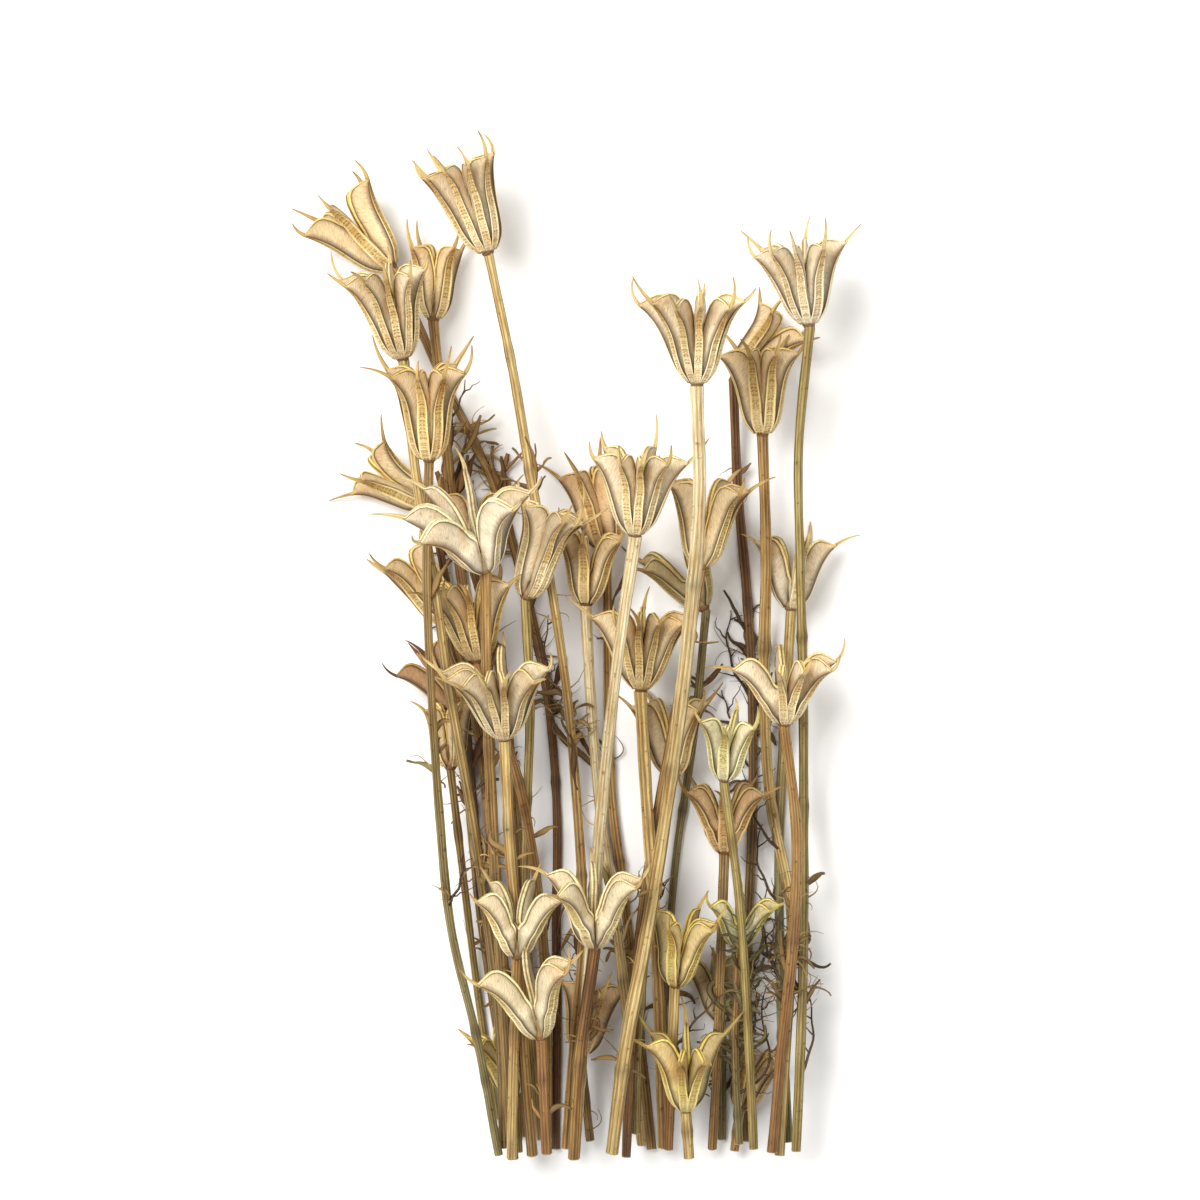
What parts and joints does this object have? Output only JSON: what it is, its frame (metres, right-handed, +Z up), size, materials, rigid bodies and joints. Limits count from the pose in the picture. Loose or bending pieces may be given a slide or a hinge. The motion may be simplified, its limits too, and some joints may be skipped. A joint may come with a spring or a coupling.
{
  "type": "bunch of dried nigella pods",
  "caption": "Loose bunch of dried nigella stems laid flat, each ending in a papery seed head of splayed, beaked follicles, for dried arrangements.",
  "frame": {"origin": "middle of the outer box, at the height of the lowest point, which lies on the table", "axes": "+Y towards the seed heads along the stems, -Y towards the cut ends, +X to the right of the picture, +Z up, off the table and towards the viewer of the picture"},
  "size_m": [0.1412, 0.2532, 0.0763],
  "materials": {
    "dry_plant_brown": "dry papery head on a dry ribbed stem",
    "dry_plant_cream": "dry papery head on a dry ribbed stem",
    "dry_plant_moss": "dry papery head on a dry ribbed stem",
    "dry_plant_straw": "dry papery head on a dry ribbed stem",
    "dry_plant_tan": "dry papery head on a dry ribbed stem",
    "dry_plant_yellow": "dry papery head on a dry ribbed stem",
    "dry_stem_olive": "dry and finely ribbed",
    "dry_stem_pale": "dry and finely ribbed",
    "dry_stem_straw": "dry and finely ribbed",
    "dry_stem_tan": "dry and finely ribbed",
    "papery_head_cream": "dry, papery and finely veined",
    "papery_head_pale": "dry, papery and finely veined",
    "papery_head_straw": "dry, papery and finely veined",
    "papery_head_tan": "dry, papery and finely veined",
    "papery_head_yellow": "dry, papery and finely veined"
  },
  "bodies": {
    "root": {"seed_head_01": "papery_head_cream", "stem_01": "dry_stem_straw", "stemmed_head_02": "dry_plant_straw", "seed_head_03": "papery_head_cream", "stem_03": "dry_stem_straw", "stemmed_head_04": "dry_plant_straw", "seed_head_05": "papery_head_straw", "stem_05": "dry_stem_tan", "stemmed_head_06": "dry_plant_straw", "seed_head_08": "papery_head_pale", "stem_08": "dry_stem_straw", "stemmed_head_09": "dry_plant_tan", "seed_head_10": "papery_head_cream", "stem_10": "dry_stem_straw", "stemmed_head_11": "dry_plant_straw", "seed_head_12": "papery_head_yellow", "stem_12": "dry_stem_tan", "seed_head_13": "papery_head_cream", "stem_13": "dry_stem_straw", "stemmed_head_14": "dry_plant_brown", "stemmed_head_15": "dry_plant_straw", "seed_head_16": "papery_head_straw", "stem_16": "dry_stem_tan", "stemmed_head_17": "dry_plant_tan", "seed_head_18": "papery_head_cream", "stem_18": "dry_stem_pale", "seed_head_19": "papery_head_straw", "stem_19": "dry_stem_tan", "stemmed_head_20": "dry_plant_moss", "seed_head_21": "papery_head_straw", "stem_21": "dry_stem_tan", "seed_head_22": "papery_head_pale", "stem_22": "dry_stem_pale", "seed_head_23": "papery_head_cream", "stem_23": "dry_stem_olive", "stemmed_head_24": "dry_plant_tan", "seed_head_26": "papery_head_straw", "stem_26": "dry_stem_straw", "stemmed_head_27": "dry_plant_cream", "seed_head_28": "papery_head_pale", "stem_28": "dry_stem_straw", "stemmed_head_29": "dry_plant_straw", "seed_head_30": "papery_head_pale", "stem_30": "dry_stem_straw", "seed_head_31": "papery_head_tan", "stem_31": "dry_stem_straw", "seed_head_32": "papery_head_pale", "stem_32": "dry_stem_straw", "seed_head_33": "papery_head_pale", "stem_33": "dry_stem_pale", "seed_head_34": "papery_head_pale", "stem_34": "dry_stem_tan", "stemmed_head_35": "dry_plant_yellow", "stemmed_head_36": "dry_plant_tan", "seed_head_37": "papery_head_yellow", "stem_37": "dry_stem_straw", "stemmed_head_38": "dry_plant_yellow", "stemmed_head_39": "dry_plant_moss", "stemmed_head_40": "dry_plant_yellow", "stemmed_head_41": "dry_plant_tan"}
  },
  "joints": []
}
